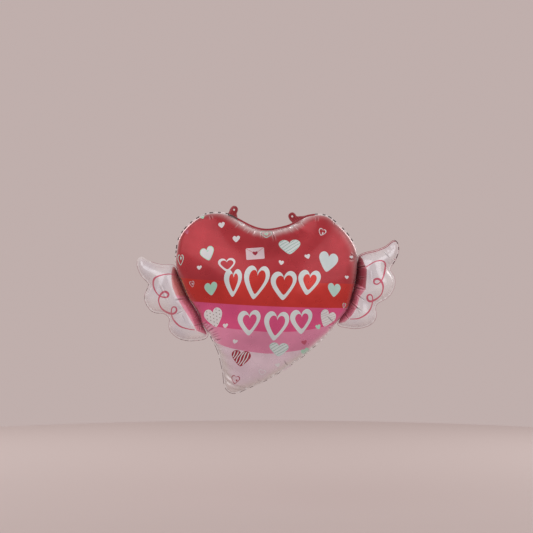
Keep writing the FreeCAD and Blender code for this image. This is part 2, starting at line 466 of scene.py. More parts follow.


# Ink, name of its material, display colour, metal, roughness and share of the painted pale sheen that shows;
# then, where they differ from the usual, crinkle, coat and colour of the painted sheen.
INK_ROWS = (
    ("crimson", "crimson_foil", (189, 41, 55), 0.5, 0.3, 0.85),
    ("orange", "orange_red_foil", (214, 44, 36), 0.55, 0.3, 0.5),
    ("magenta", "magenta_foil", (238, 90, 150), 0.55, 0.3, 0.75),
    ("dusty", "dusty_pink_foil", (242, 156, 194), 0.55, 0.3, 0.8),
    ("pale", "pale_pearl_foil", (244, 226, 240), 0.35, 0.26, 0.9, 1.0, 0.5, (0.8, 0.765, 0.745)),
    ("white", "white_ink", (238, 246, 252), 0.15, 0.34, 0.3),
    ("mint", "mint_ink", (196, 238, 230), 0.15, 0.34, 0.0),
    ("stripe", "stripe_ink", (228, 248, 250), 0.15, 0.34, 0.3),
    ("green", "green_ink", (186, 246, 220), 0.15, 0.34, 0.1),
    ("grey", "grey_dot_ink", (176, 178, 176), 0.2, 0.34, 0.3),
    ("pink", "pink_ink", (234, 216, 224), 0.15, 0.34, 0.3),
    ("rose", "rose_ink", (208, 92, 124), 0.3, 0.32, 0.3),
    ("wine", "wine_ink", (176, 36, 66), 0.4, 0.3, 0.3),
    # The next ink paints a highlight: a thin light line beside the left crease, standing in for the heart
    # rim's highlight.
    ("painted_rim_highlight", "painted_rim_highlight_ink", (232, 172, 122), 0.25, 0.3, 0.0),
    ("sage", "sage_line_ink", (160, 206, 192), 0.2, 0.34, 0.3),
    ("pearl", "pearl_foil", (246, 245, 255), 0.25, 0.26, 0.5, 0.45),
    ("maroon", "maroon_foil", (180, 76, 94), 0.45, 0.28, 0.8, 0.8),
    ("blush", "blush_foil", (222, 138, 140), 0.4, 0.28, 0.8, 0.8),
    ("root", "root_pink_foil", (236, 142, 168), 0.45, 0.28, 0.8, 0.8),
    ("silver", "silver_seam_film", (252, 247, 247), 0.1, 0.3, 0.5, 0.35),
    # The next ink paints shade: dashes along the seams that stand in for the shade of their puckers.
    ("mauve", "mauve_painted_shade_dash", (116, 82, 90), 0.3, 0.3, 0.0),
    ("edge", "wing_edge_film", (206, 168, 178), 0.3, 0.3, 0.0),
    ("curl", "curl_ink", (224, 106, 132), 0.3, 0.32, 0.3),
    # The next ink paints shade: dashes along the heart's seam for the shade of its puckers, and the left
    # tab's shadow.
    ("shadow", "painted_shade_seam_dash", (74, 62, 64), 0.4, 0.3, 0.0),
    ("wine_seam", "wine_seam_film", (164, 36, 52), 0.5, 0.3, 0.0),
    ("tab", "tab_foil", (160, 32, 46), 0.5, 0.3, 0.5),
    ("milky", "milky_valve_film", (226, 226, 222), 0.0, 0.5, 0.0, 1.0, 0.1),
)
INKS = {ink: film_material(name, srgb(*colour), *looks) for ink, name, colour, *looks in INK_ROWS}
ORDER = list(INKS)

# ------------------------------------------------------------------ the print, drawn in the front view


def heart_shape(x, z, width, height, tilt=0.0, lean=0.0):
    """Outline of a hand-drawn heart, tilted anticlockwise in degrees."""
    count = int(28 + 0.55 * (width + height) / 2)
    t = np.linspace(0, 2 * math.pi, count, endpoint=False)
    near_tip = 1 - smooth(np.abs(t - math.pi), 0.5, 1.5)
    power = 3 - 0.9 * smooth(-np.cos(t), -0.4, 0.6)
    px = np.sign(np.sin(t)) * np.abs(np.sin(t)) ** power * width / 2
    pz = (13 * np.cos(t) - 5 * np.cos(2 * t) - 2 * np.cos(3 * t) - np.cos(4 * t) + 2.6) / 14.6 * height / 2
    pz = np.where(pz < 0, pz * 1.06, pz)
    for _ in range(count // 2):
        for line in (px, pz):
            line += 0.25 * near_tip * (np.roll(line, 1) + np.roll(line, -1) - 2 * line)
    return np.stack(turned(px + lean * pz, pz, x, z, tilt), 1)


def denser(points, step=4.5, closed=True):
    """The line with no gap longer than a step."""
    p = np.asarray(points, float)
    ends = np.roll(p, -1, 0) if closed else p[1:]
    rows = []
    for a, b in zip(p, ends):
        n = max(1, int(math.ceil(np.linalg.norm(b - a) / step)))
        rows.append(a + (b - a) * (np.arange(n) / n)[:, None])
    if not closed:
        rows.append(p[-1:])
    return np.vstack(rows)


def ribbon(line, widths):
    """Short overlapping polygons along a line, so that its loops may cross."""
    step = np.gradient(line, axis=0)
    side = np.stack([-step[:, 1], step[:, 0]], 1) / np.linalg.norm(step, axis=1)[:, None]
    left, right = line + side * widths[:, None] / 2, line - side * widths[:, None] / 2
    size = 7
    for k in range(0, len(line) - 1, size):
        yield np.vstack([left[k:k + size + 1], right[k:k + size + 1][::-1]])


def extent(outline):
    """The middle of an outline's box, and half of the box's diagonal."""
    low, high = outline.min(0), outline.max(0)
    return (low + high) / 2, np.linalg.norm(high - low) / 2


class Picture:
    """Inked shapes in order, each a polygon with an optional mask polygon."""

    def __init__(self):
        self.shapes = []

    def fill(self, ink, polygon, mask=None):
        self.shapes.append((ink, np.asarray(polygon, float), mask))

    def heart(self, ink, x, z, width, height=None, tilt=0.0, lean=0.0):
        outline = heart_shape(x, z, width, height or width * 0.92, tilt, lean)
        self.fill(ink, outline)
        return outline

    def ring(self, ink, under, x, z, width, height, stroke, tilt=0.0, brush=0.0, lean=0.0):
        """A heart drawn with a stroke, thicker on one side where brush isn't 0."""
        middle = turned(brush * stroke, 0.12 * stroke, x, z, tilt)
        self.fill(ink, heart_shape(x, z, width, height, tilt, lean))
        self.fill(under, heart_shape(*middle, width - 2 * stroke, height - 2.1 * stroke, tilt, lean))

    def stripes(self, ink, outline, angle, gap, thick, wobble=0.0):
        """Wavy lines across an outline."""
        middle, reach = extent(outline)
        along = np.arange(-reach, reach + 1, 4.0)
        for k, offset in enumerate(np.arange(-reach + gap * 0.6, reach, gap)):
            swing = wobble * np.sin(along * 0.16 + k * 1.7)
            rows = []
            for edge, way in ((-0.5, 1), (0.5, -1)):
                side = offset + edge * thick + swing[::way]
                rows.append(np.stack(turned(along[::way], side, *middle, angle), 1))
            band = np.vstack(rows)
            if in_polygon(band, outline).any():
                self.fill(ink, band, outline)

    def dots(self, ink, outline, gap, radius, angle=0.0):
        """Small dots in staggered rows inside an outline."""
        middle, reach = extent(outline)
        turn = np.linspace(0, 2 * math.pi, 8, endpoint=False)
        for u, v in hex_grid((-reach, -reach), (reach, reach), gap):
            dot = circle(*turned(u, v, *middle, angle), radius, turn)
            if in_polygon(dot, outline).all():
                self.fill(ink, dot)


BANDS = [
    ("orange", [(-234, -212), (-200, -215), (-100, -219), (14, -222), (200, -226), (300, -229)]),
    ("magenta", [(-246, -281), (-229, -285), (-78, -296), (73, -303), (200, -306), (285, -306)]),
    ("dusty", [
        (-215, -345), (-173, -359), (-125, -370), (-6, -382), (70, -383), (137, -378), (226, -359),
        (260, -348),
    ]),
    ("pale", [
        (-178, -405), (-158, -415), (-102, -436), (-18, -450), (36, -452), (137, -438), (190, -416),
        (225, -396),
    ]),
]


def band_under(x, z):
    """The ink of the band that a point of the front view lies in."""
    ink = "crimson"
    for name, line in BANDS:
        xs, zs = zip(*line)
        if z < np.interp(x, xs, zs):
            ink = name
    return ink


def draw_envelope(art, x, z, tilt):
    """A closed envelope with a flap and a heart as its seal, tilted in degrees."""
    sheet = [(-28, -18.5), (-29.5, -16), (-29.5, 16), (-27, 18.5)]
    sheet += [(27, 18.5), (29.5, 16), (29.5, -16), (27, -18.5)]
    flap = [(-28.5, 16.5), (-27, 17.4), (0, 1.0), (27, 17.4), (28.5, 16.5), (0, -1.0)]
    for ink, points in (("pink", sheet), ("blush", flap)):
        art.fill(ink, denser([turned(a, b, x, z, tilt) for a, b in points]))
    art.heart("wine", x, z, 17, 14, tilt)


def heart_picture(rows_of_hearts):
    """The motifs on the heart, in the order in which they are printed, with a painted highlight line beside
    the left crease.
    """
    art = Picture()
    left = ((-134, -40, 21), (-87, -85, 24), (-206, -177, 16), (-122, -364, 17), (-91, -415, 16))
    for x, z, w in left:
        art.heart("white", x, z, w, tilt=(x % 7) * 4 - 12, lean=0.12)
    right = ((58, -161, 17), (143, -141, 18), (269, -208, 13), (284, -143, 11), (47, -491, 15), (92, -42, 18))
    for x, z, w in right:
        art.heart("white", x, z, w, tilt=(z % 7) * 4 - 10, lean=-0.1)
    art.dots("rose", art.heart("white", -70, -34, 23, 15, -25), 6.0, 1.2)
    art.heart("green", -195, -15, 13, 10, 20)
    art.heart("rose", -246, -62, 14, 16, 25)
    art.ring("mint", "crimson", -266, -153, 20, 38, 2.6, 0)
    art.heart("mint", -265, -147, 5, 13, 0)
    art.ring("green", "white", -179, -133, 47, 46, 2.8, 20, lean=0.1)
    art.heart("green", -179, -123, 7, 5, 20)
    art.ring("pink", "crimson", -229, -230, 16, 22, 1.9, 12)
    art.heart("pink", -228, -229, 5, 7, 12)
    art.heart("mint", -168, -246, 42, 44, 12, 0.12)
    art.heart("green", -168, -245.6, 38, 40, 12, 0.12)
    dotted = art.heart("white", -158, -339, 59, 64, 14)
    art.dots("grey", dotted, 11.6, 2.2, -24)
    art.heart("wine", -72, -470, 62, 54, -6)
    art.stripes("white", heart_shape(-72, -470, 57, 49, -6), 62, 8.4, 3.2, 1.3)
    art.ring("wine", "pale", -90, -538, 28, 29, 2.6, -12)
    art.heart("wine", -86, -540, 6, 8, -12)
    art.ring("white", "pale", -4, -514, 24, 19, 1.8, -12)
    art.heart("green", 136, -448, 27, 24, 25)
    art.heart("rose", 132, -418, 18, 16, 10)
    art.heart("mint", 50, -441, 62, 46, -4)
    art.stripes("sage", art.heart("stripe", 50, -440.6, 58, 42.5, -4), 30, 8.8, 1.9, 0.6)
    art.heart("green", 177, -368, 17, 17, 15)
    art.stripes("grey", art.heart("white", 205, -342, 50, 57, -22), 24, 7.4, 0.9, 0.9)
    art.heart("mint", 228, -250, 41, 46, -8, -0.08)
    art.heart("stripe", 208, -160, 62, 66, -14, -0.06)
    art.heart("mint", 85, -111, 70, 49, 2)
    art.stripes("sage", art.heart("stripe", 85, -110.6, 66, 45.5, 2), 32, 8.8, 1.9, 0.6)
    art.ring("mint", "crimson", 10, -70, 38, 24, 2.4, 0)
    art.heart("green", 10, -69, 13, 9, 0)
    art.ring("white", "crimson", 189, -63, 25, 25, 2.6, -22)
    art.heart("white", 191, -66, 5, 8, -22)
    art.ring("white", "crimson", -117, -169, 56, 46, 7.0, 4, 0.1)
    art.ring("green", "magenta", 260, -299, 11, 19, 1.7, -14)
    # Painted highlight: a thin light line just inside the left crease, where the heart's rim catches the
    # light.
    edge = LEFT_LINE[(LEFT_LINE[:, 1] < -206) & (LEFT_LINE[:, 1] > -330)] + np.array([4.2, 0])
    for polygon in ribbon(edge, np.linspace(2.2, 0.9, len(edge))):
        art.fill("painted_rim_highlight", polygon)
    draw_envelope(art, -26, -131, 4)
    for x, z, w, h, tilt in rows_of_hearts:
        art.ring("stripe", band_under(x, z), x, z, w, h, 14.5, tilt, 0.16, 0.1)
    return art


ROWS = [
    (-98, -228, 58, 92, 4), (-24, -226, 82, 112, -3), (65, -236, 84, 96, 3), (146, -226, 72, 84, -4),
    (-46, -356, 74, 84, 4), (40, -366, 80, 98, -3), (122, -352, 72, 82, 5),
]
LEFT_CURL = [
    (-266, -205), (-290, -198), (-316, -198), (-349, -210), (-353, -237), (-337, -265), (-313, -272),
    (-305, -263), (-313, -254), (-325, -257), (-335, -272), (-336, -288), (-325, -310), (-303, -323),
    (-288, -324), (-279, -315), (-282, -304), (-292, -304), (-296, -317), (-291, -340), (-271, -363),
    (-245, -373), (-221, -377),
]
RIGHT_CURL = [
    (325, -178), (336, -171), (360, -157), (382, -154), (393, -165), (390, -192), (382, -216), (369, -229),
    (358, -227), (357, -217), (368, -212), (380, -220), (386, -238), (381, -260), (366, -276), (346, -285),
    (336, -279), (336, -267), (345, -263), (352, -273), (349, -299), (336, -322), (309, -339), (280, -342),
]


def draw_curl(art, curl):
    """A looping brush line of uneven width."""
    line = open_spline(curl, 3.0)
    share = np.linspace(0, 1, len(line))
    widths = 2.8 + 4.4 * np.sin(math.pi * share) ** 0.7 * (0.6 + 0.4 * np.cos(share * 28 - 5.6))
    for polygon in ribbon(line, widths):
        art.fill("curl", polygon)


# ------------------------------------------------------------------ films


def rim_creases(chamber, seed, spacing, longest, deepest):
    """Short creases that run in from the rim, each as (x0, z0, x1, z1, depth, width) in the flat pattern."""
    rng = np.random.default_rng(seed)
    out = chamber.outward()
    rows, s = [], spacing[0]
    while s < chamber.length - spacing[0]:
        k = int(s / chamber.length * len(chamber.loop))
        reach = min(rng.uniform(0.35, 1.0) * longest, 0.5 * chamber.reach_inward(chamber.along[k:k + 1])[0])
        slant = rng.uniform(-0.35, 0.35)
        calm = 0.9 if chamber.on_crease[k] else 0.3 + 0.7 * chamber.calm[k]
        depth = rng.uniform(0.35, 1.0) * deepest * calm
        first = chamber.loop[k] - 3.0 * out[k]
        last = first - (out[k] + slant * np.array([-out[k, 1], out[k, 0]])) * max(reach, 8.0)
        rows.append((*first, *last, depth, rng.uniform(1.3, 2.0)))
        s += rng.uniform(*spacing)
    return rows


def crease_lines(creases):
    """The middle and the flanks of each crease, which the film's mesh follows."""
    for x0, z0, x1, z1, _, width in creases:
        a, ab = np.array([x0, z0]), np.array([x1 - x0, z1 - z0])
        side = np.array([-ab[1], ab[0]]) / np.linalg.norm(ab) * width
        share = np.linspace(0, 1, max(4, int(np.linalg.norm(ab) / 2.6)))[:, None]
        for offset in (-1.9, -0.9, 0.0, 0.9, 1.9):
            yield a + ab * share + side * offset


def crease_depth(points, creases):
    """How far the creases lift (above 0) or sink (below 0) the film at points of the pattern."""
    total = np.zeros(len(points))
    for x0, z0, x1, z1, depth, width in creases:
        a, ab = np.array([x0, z0]), np.array([x1 - x0, z1 - z0])
        low = np.minimum(a, a + ab) - 5 * width
        high = np.maximum(a, a + ab) + 5 * width
        near = np.flatnonzero(((points > low) & (points < high)).all(1))
        t = ((points[near] - a) @ ab) / (ab @ ab)
        away = np.abs((points[near] - a) @ np.array([-ab[1], ab[0]])) / np.linalg.norm(ab)
        fade = depth * smooth(t, -0.05, 0.25) * (1 - smooth(t, 0.5, 1.02))
        total[near] -= fade * np.exp(-((away / width) ** 2))
        total[near] += 0.4 * fade * np.exp(-(((away - 1.9 * width) / width) ** 2))
    return total


def bundle(first, last, low, high, count, reach, depth, seed):
    """Nearly parallel creases that start along a line and run between two directions in degrees."""
    rng = np.random.default_rng(seed)
    rows = []
    for k in range(count):
        share = (k + rng.uniform(-0.3, 0.3)) / (count - 1)
        angle = math.radians(low + (high - low) * share + rng.uniform(-5, 5))
        size = reach * rng.uniform(0.5, 1.0) * (0.55 + 0.45 * math.sin(math.pi * np.clip(share, 0, 1)))
        x = first[0] + (last[0] - first[0]) * share
        z = first[1] + (last[1] - first[1]) * share
        rows.append((x, z, x + size * math.cos(angle), z + size * math.sin(angle),
                     depth * rng.uniform(0.5, 1.0), rng.uniform(1.8, 2.4)))
    return rows


def make_mesh(name, points, faces, materials, indices=None, normals=None):
    mesh = bpy.data.meshes.new(name)
    mesh.from_pydata((np.asarray(points) * MM).tolist(), [], [list(map(int, q)) for q in faces])
    for ink in materials:
        mesh.materials.append(INKS[ink])
    mesh.polygons.foreach_set("use_smooth", np.ones(len(mesh.polygons), bool))
    if indices is not None:
        mesh.polygons.foreach_set("material_index", np.asarray(indices, np.int32))
    mesh.update()
    if normals is not None:
        mesh.normals_split_custom_set_from_vertices([tuple(q) for q in normals])
    obj = bpy.data.objects.new(name, mesh)
    bpy.context.collection.objects.link(obj)
    return obj


def set_attributes(obj, painted_sheen_share, pleat, s, d, fold=None):
    """What the materials read: painted pale sheen, strength of the pleats, place along and in from the rim,
    and painted shade in the creases.
    """
    mesh = obj.data
    fold = np.zeros(len(s)) if fold is None else fold
    # The attribute named fold carries painted shade, not a colour of the film.
    for name, values in (("painted_sheen_share", painted_sheen_share), ("pleat", pleat), ("fold", fold)):
        mesh.attributes.new(name, "FLOAT", "POINT").data.foreach_set("value", np.asarray(values, np.float32))
    rim = np.stack([s * 0.16, d * 0.018, np.zeros(len(s))], 1).astype(np.float32)
    mesh.attributes.new("rim_place", "FLOAT_VECTOR", "POINT").data.foreach_set("vector", rim.ravel())


def rim_noise(place, length, seed, turns):
    """A smooth random value from 0 to 1 along the rim."""
    value = waves(np.random.default_rng(seed), place, length, turns, 0.4)
    return np.clip(0.5 + 0.5 * value / (0.55 * len(turns)), 0, 1)


def pattern_finder(p, chamber, sense):
    """A function that takes points of the front view to the flat pattern, and says which meet the film."""
    f = chamber.f
    tree = BVHTree.FromPolygons([tuple(q) for q in p], [tuple(map(int, t)) for t in f])

    def meet(x, z):
        return tree.ray_cast(Vector((x, sense * 400.0, z)), Vector((0, -sense, 0)))

    def to_pattern(points):
        rows, hits = [], []
        for x, z in points:
            hit = meet(x, z)
            if hit[0] is not None:
                share = 1 - abs(hit[0].y) / EYE[1]
                again = meet(EYE[0] + (x - EYE[0]) * share, EYE[2] + (z - EYE[2]) * share)
                hit = hit if again[0] is None else again
            hits.append(hit[0] is not None)
            if not hits[-1]:
                rows.append((x, z))
                continue
            corner = f[hit[2]]
            film = [Vector(p[k]) for k in corner]
            flat = [Vector((*chamber.v[k], 0)) for k in corner]
            q = geometry.barycentric_transform(hit[0], *film, *flat)
            rows.append((q.x, q.y))
        return np.array(rows), np.array(hits)

    return to_pattern


def print_in_pattern(bands, art, to_pattern):
    """The print's lines in the pattern, each closed or not, and its shapes as (ink, polygon, mask)."""
    lines, shapes = [], []
    for ink, line in bands:
        q, hit = to_pattern(open_spline(line, 4.0))
        q = q[hit]
        first = q[0] + (q[0] - q[1]) / np.linalg.norm(q[0] - q[1]) * 40
        last = q[-1] + (q[-1] - q[-2]) / np.linalg.norm(q[-1] - q[-2]) * 40
        q = np.vstack([first, q, last])
        lines.append((q, False))
        far = np.array([[last[0] + 500, last[1] - 900], [first[0] - 500, first[1] - 900]])
        shapes.append((ink, np.vstack([q, far]), None))
    for ink, polygon, mask in art.shapes:
        q, hit = to_pattern(polygon)
        if hit.any():
            lines.append((q, True))
            shapes.append((ink, q, None if mask is None else to_pattern(mask)[0]))
    return lines, shapes


def cut_pattern(chamber, lines):
    """The pattern cut along lines: points, triangles, and each point's vertex in the uncut pattern, or -1."""
    extra, links = [], []
    for q, closed in lines:
        start = len(extra)
        extra.extend(q.tolist())
        links.extend((start + k, start + k + 1) for k in range(len(q) - 1))
        if closed:
            links.append((start + len(q) - 1, start))
    near = KDTree(len(extra))
    for k, q in enumerate(extra):
        near.insert((*q, 0), k)
    near.balance()
    rim = set(chamber.rim.tolist())
    kept = [k for k, q in enumerate(chamber.v) if k in rim or near.find((*q, 0))[2] > 0.9]
    number = {k: m for m, k in enumerate(kept)}
    points = np.vstack([chamber.v[kept], extra])
    border = [number[k] for k in chamber.rim.tolist()]
    links = [(a + len(kept), b + len(kept)) for a, b in links]
    points = [Vector(q) for q in points]
    v, _, faces, source, _, _ = geometry.delaunay_2d_cdt(points, links, [border], 1, 0.01)
    own = [next((kept[q] for q in origin if q < len(kept)), -1) for origin in source]
    return np.array([tuple(q) for q in v]), np.array(faces), own


def raise_to_film(v, own, chamber, p, nv):
    """Places on the curved film, and its normals, for the points of the cut pattern."""
    flat, f = chamber.v, chamber.f
    tree = BVHTree.FromPolygons([(q[0], 0, q[1]) for q in flat], [tuple(map(int, t)) for t in f])
    place, normals = np.empty((len(v), 3)), np.empty((len(v), 3))
    for k, vertex in enumerate(own):
        if vertex >= 0:
            place[k], normals[k] = p[vertex], nv[vertex]
            continue
        hit = tree.ray_cast(Vector((v[k, 0], -9, v[k, 1])), Vector((0, 1, 0)))
        if hit[0] is None:
            hit = tree.find_nearest(Vector((v[k, 0], 0, v[k, 1])))
        corner = f[hit[2]]
        a, b, c = (flat[m] for m in corner)
        det = (b[0] - a[0]) * (c[1] - a[1]) - (c[0] - a[0]) * (b[1] - a[1])
        wb = ((v[k, 0] - a[0]) * (c[1] - a[1]) - (c[0] - a[0]) * (v[k, 1] - a[1])) / det
        wc = ((b[0] - a[0]) * (v[k, 1] - a[1]) - (v[k, 0] - a[0]) * (b[1] - a[1])) / det
        w = np.clip(np.array([1 - wb - wc, wb, wc]), 0, 1)
        w /= w.sum()
        q = w @ p[corner]
        rounded = sum(w[m] * (q - ((q - p[corner[m]]) @ nv[corner[m]]) * nv[corner[m]]) for m in range(3))
        place[k] = 0.35 * q + 0.65 * rounded
        normals[k] = w @ nv[corner]
    return place, normals / np.linalg.norm(normals, axis=1)[:, None]


def ink_faces(middle, base, shapes):
    """Each face's ink, as its number in ORDER: that of the last shape in which its middle lies."""
    ink_of = np.full(len(middle), ORDER.index(base))
    for ink, polygon, mask in shapes:
        low, high = polygon.min(0), polygon.max(0)
        inside = np.flatnonzero(((middle >= low) & (middle <= high)).all(1))
        for outline in (polygon, mask):
            if outline is not None and len(inside):
                inside = inside[in_polygon(middle[inside], outline)]
        ink_of[inside] = ORDER.index(ink)
    return ink_of


def printed_film(name, chamber, sense, base, bands, art, front_creases, painted_sheen, painted_crease_shade):
    """The film of a chamber, cut along the outlines of its print so that every inked edge is crisp."""
    p = chamber.front if sense < 0 else chamber.back
    nv = vertex_normals(p, chamber.f)
    if np.sign(nv[:, 1].sum()) != sense:
        nv = -nv
    to_pattern = pattern_finder(p, chamber, sense)
    lines, shapes = print_in_pattern(bands, art, to_pattern)
    creases = list(chamber.creases)
    for x0, z0, x1, z1, depth, width in front_creases:
        ends, hit = to_pattern([(x0, z0), (x1, z1)])
        if hit.all():
            creases.append((*ends[0], *ends[1], depth, width))
    for q in crease_lines(creases):
        q = q[in_polygon(q, chamber.loop)]
        if len(q) > 1:
            lines.append((q, False))

    v, faces, own = cut_pattern(chamber, lines)
    new, normals = raise_to_film(v, own, chamber, p, nv)
    d, s, _ = rim_place(v, chamber.loop)
    lift = np.clip(crease_depth(v, creases), -3.0, 1.2) * smooth(d, 0.5, 4.0)
    new += normals * lift[:, None]
    bent = vertex_normals(new, faces)
    bent *= sense * np.sign(bent[:, 1].sum())
    share = smooth(np.abs(lift), 0.01, 0.15)[:, None]
    normals = normals * (1 - share) + bent * share
    normals /= np.linalg.norm(normals, axis=1)[:, None]

    used, slots = np.unique(ink_faces(v[faces].mean(1), base, shapes), return_inverse=True)
    a, b, c = (new[faces[:, k]] for k in range(3))
    if np.sign(np.cross(b - a, c - a)[:, 1].sum()) != sense:
        faces = faces[:, ::-1]
    obj = make_mesh(name, new, faces, [ORDER[k] for k in used], slots, normals)
    front = new[:, [0, 2]]
    # Painted shade: the colour darkens where creases sink the film, and beside the lines given for crease
    # shade.
    fold = np.clip(-lift / 1.6, 0, 1)
    for line, strength, width in painted_crease_shade:
        fold = np.maximum(fold, strength * (1 - smooth(crease_distance(front, [line]), 1.0, width)))
    # Painted sheen near the rim, with a painted highlight where creases lift the film into ridges.
    painted_sheen_share = np.clip(painted_sheen(v, front, d, s) + 0.5 * np.clip(lift, 0, 1), 0, 1)
    pleat = (1 - smooth(d, 8, 55)) * (1 - smooth(d / chamber.reach_inward(s), 0.25, 0.8))
    set_attributes(obj, painted_sheen_share, pleat, s, d, fold)
    return obj


def free_runs(on_crease):
    """The stretches of a rim that lie outside a crease, as places along it."""
    free = np.flatnonzero(~on_crease)
    breaks = [k for k in range(len(free)) if (free[k] - free[k - 1]) % len(on_crease) != 1]
    for b, c in zip(breaks, breaks[1:] + breaks[:1]):
        yield free[b:c] if c > b else np.concatenate([free[b:], free[:c]])


# Half of the welded border's section, as rows of: fixed way out from the rim, share of the width added to
# it, and half thickness.
SEAM_SECTION = ((-0.6, 0.0, 0.2), (0.0, 0.0, 0.36), (0.0, 0.4, 0.36), (0.0, 0.72, 0.34), (0.0, 1.0, 0.14))


def seam_band(name, chamber, paint, seed):
    """The flat welded border outside the rim, as a thin closed band that waves with it."""
    loop, out, step = chamber.loop, chamber.outward(), chamber.length / len(chamber.loop)
    rng = np.random.default_rng(seed)
    turns = rng.integers(int(chamber.length / 14), int(chamber.length / 8), 9)
    ripple = waves(rng, chamber.along, chamber.length, turns, 0.4)
    ripple *= 0.45 / np.abs(ripple).max()
    section = [(fixed, share, -y) for fixed, share, y in SEAM_SECTION] + list(SEAM_SECTION[::-1])
    corners = len(section)
    points, faces, inks, s, d = [], [], [], [], []
    for run in free_runs(chamber.on_crease):
        from_end = np.minimum(np.arange(len(run)), np.arange(len(run))[::-1]) * step
        width = SEAM_WIDTH * smooth(from_end, -4, 9) * (1 - 0.1 * np.abs(ripple[run]))
        first = len(points)
        for k, w in zip(run, width):
            for fixed, share, y in section:
                o = fixed + share * w
                lift = chamber.wave[k] * (1 + 0.3 * max(0, o) / SEAM_WIDTH)
                lift += ripple[k] * chamber.calm[k] * max(0, o) / SEAM_WIDTH
                points.append((loop[k, 0] + out[k, 0] * o, y + lift, loop[k, 1] + out[k, 1] * o))
                s.append(chamber.along[k])
                d.append(3 * o)
        for m, k in enumerate(run[:-1]):
            for q in range(corners):
                a = first + corners * m + q
                b = first + corners * m + (q + 1) % corners
                faces.append((a, b, b + corners, a + corners))
                inks.append(paint(loop[k], chamber.along[k], q))
        for m, way in ((0, -1), (len(run) - 1, 1)):
            cap = [first + corners * m + q for q in range(corners)]
            faces.append(cap[::way])
            inks.append(paint(loop[run[m]], 0, corners - 1))
    points = np.array(points)
    a, b, c = points[list(faces[1][:3])]
    if np.cross(b - a, c - a)[1] * (a[1] - points[faces[7][0], 1]) < 0:
        faces = [face[::-1] for face in faces]
    used = sorted(set(inks), key=ORDER.index)
    obj = make_mesh(name, points, faces, used, [used.index(k) for k in inks])
    set_attributes(obj, np.zeros(len(points)), np.ones(len(points)), np.array(s), np.array(d))
    return obj


def dashes(length, seed, spacing=(17, 27), size=(6, 14)):
    """Start and end places of the dashes of painted shade along a border, which stand in for the shade of its
    puckers.
    """
    rng = np.random.default_rng(seed)
    marks, s = [], 4.0
    while s < length:
        marks.append((s, s + rng.uniform(*size)))
        s += rng.uniform(*spacing)
    return marks


LEFT_LINE = open_spline(LEFT_CREASE, 3.0)
RIGHT_LINE = open_spline(RIGHT_CREASE, 3.0)
LINES = [LEFT_LINE, RIGHT_LINE]

# folds of the tabs and of the neck: point, direction along the fold, direction out of the border
LEFT_TAB = ((-97.6455, 0, -5.6677), (0.909354, 0, -0.416023), (0.416023, 0, 0.909354))
RIGHT_TAB = ((108.6446, 0, -20.2452), (0.840441, 0, 0.541902), (-0.541902, 0, 0.840441))
NECK = ((78.4174, 0, -500.6738), (-0.835369, 0, -0.549689), (0.549689, 0, -0.835369))


def heart_calm(x, z):
    """Where the heart's seam waves freely (1) and where it lies flat (0)."""
    value = 1 - 0.75 * smooth(115 - np.abs(x), 0, 25) * smooth(z, -70, -60)
    value *= 1 - 0.6 * smooth(-z, 420, 450) * smooth(-x, 60, 90)
    value *= smooth(np.hypot(x - NECK[0][0], z - NECK[0][2]), 22, 42)
    for tab in (LEFT_TAB, RIGHT_TAB):
        value *= 0.15 + 0.85 * smooth(np.hypot(x - tab[0][0], z - tab[0][2]), 20, 38)
    near = crease_distance(np.stack([x, z], 1), LINES)
    return value * smooth(near, 1, 26)


def heart_stiff(x, z):
    """How strongly the film resists bending; the tip is nearly free of wrinkles."""
    return 0.1 + 0.16 * smooth(-z, 400, 470)


def wing_stiff(x, z):
    return np.full(len(x), 0.24)


def wing_calm(x, z):
    return 0.45 * smooth(crease_distance(np.stack([x, z], 1), LINES), 1, 22)


heart = Chamber(
    HEART_TOP + shifted(LEFT_CREASE, 0.1) + HEART_TIP + shifted(RIGHT_CREASE[::-1], -0.1),
    HEART_DEPTH, 11, heart_calm, 1.13, heart_stiff,
)
left_loop = LEFT_WING + shifted(LEFT_CREASE[1:-1], -0.1)
left_wing = Chamber(left_loop, WING_DEPTH, 21, wing_calm, 1.08, wing_stiff)
right_loop = RIGHT_WING + shifted(RIGHT_CREASE[-2:0:-1], 0.1)
right_wing = Chamber(right_loop, WING_DEPTH, 31, wing_calm, 1.08, wing_stiff)

HEART_GROOVES = (
    bundle((-192, -360), (-153, -410), 34, 12, 10, 34, 2.2, 3)
    + bundle((252, -336), (222, -368), 150, 168, 6, 28, 2.0, 5)
    + [
        (30, -60, 38, -94, 2.4, 1.8), (-6, -60, -7, -86, 1.6, 1.5), (173, -13, 174, -30, 1.6, 1.5),
        (226, -28, 230, -42, 1.6, 1.5), (264, -88, 276, -76, 1.6, 1.5), (-170, -8, -165, -22, 1.6, 1.5),
        (66, -474, 79, -491, 2.4, 1.7), (-21, -541, -16, -548, 1.8, 1.5), (137, -422, 154, -439, 2.6, 1.7),
        (206, -333, 228, -355, 2.6, 1.6), (-155, -408, -130, -404, 2.4, 1.7),
        (-142, -462, -132, -463, 1.6, 1.5), (49, -510, 57, -515, 1.5, 1.4),
        (276, -148, 296, -150, 2.0, 1.6), (280, -130, 294, -141, 1.6, 1.5),
    ]
    + [
        (-27, -58, -35, -72, -1.1, 1.6), (-43, -56, -53, -68, -1.1, 1.6), (-56, -49, -65, -58, -1.0, 1.6),
        (76, -45, 96, -67, -1.2, 1.6), (100, -43, 115, -60, -1.2, 1.6), (56, -52, 63, -68, -1.0, 1.6),
        (120, -30, 134, -46, -0.9, 1.6), (-80, -36, -92, -50, -0.9, 1.6), (14, -60, 15, -84, -0.8, 1.8),
    ]
)
